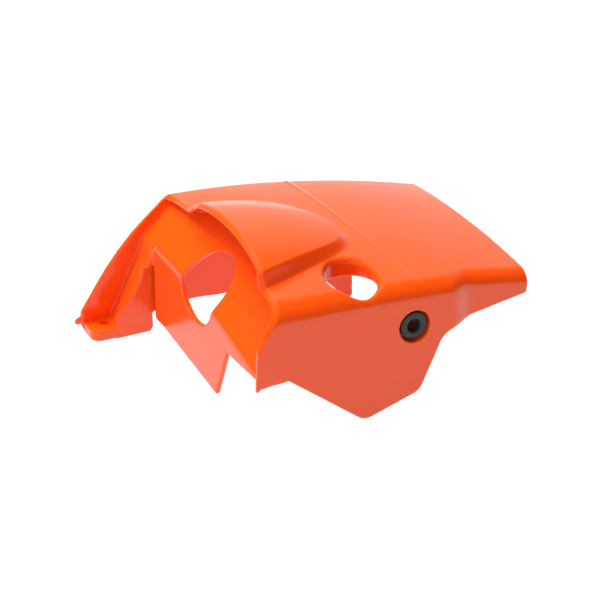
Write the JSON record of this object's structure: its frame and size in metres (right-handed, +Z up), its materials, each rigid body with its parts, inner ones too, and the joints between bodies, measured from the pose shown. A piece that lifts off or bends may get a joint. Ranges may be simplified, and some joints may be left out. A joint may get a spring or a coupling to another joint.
{
  "type": "chainsaw top cover",
  "caption": "Moulded engine top cover with a folded inner baffle, a raised filter panel, an access hole, a screw foot and a rubber bush in its side skirt.",
  "frame": {"origin": "under the middle of the cover's bounding box, on the flat surface that it stands on", "axes": "+X along the saw to the cover's front edge, +Y to the saw's left, where the foot is, +Z up"},
  "size_m": [0.1959, 0.1501, 0.0915],
  "materials": {
    "shell": "glossy moulded orange",
    "bush": "matt black rubber"
  },
  "bodies": {
    "root": {"shroud": "shell", "side_bush": "bush"}
  },
  "joints": []
}
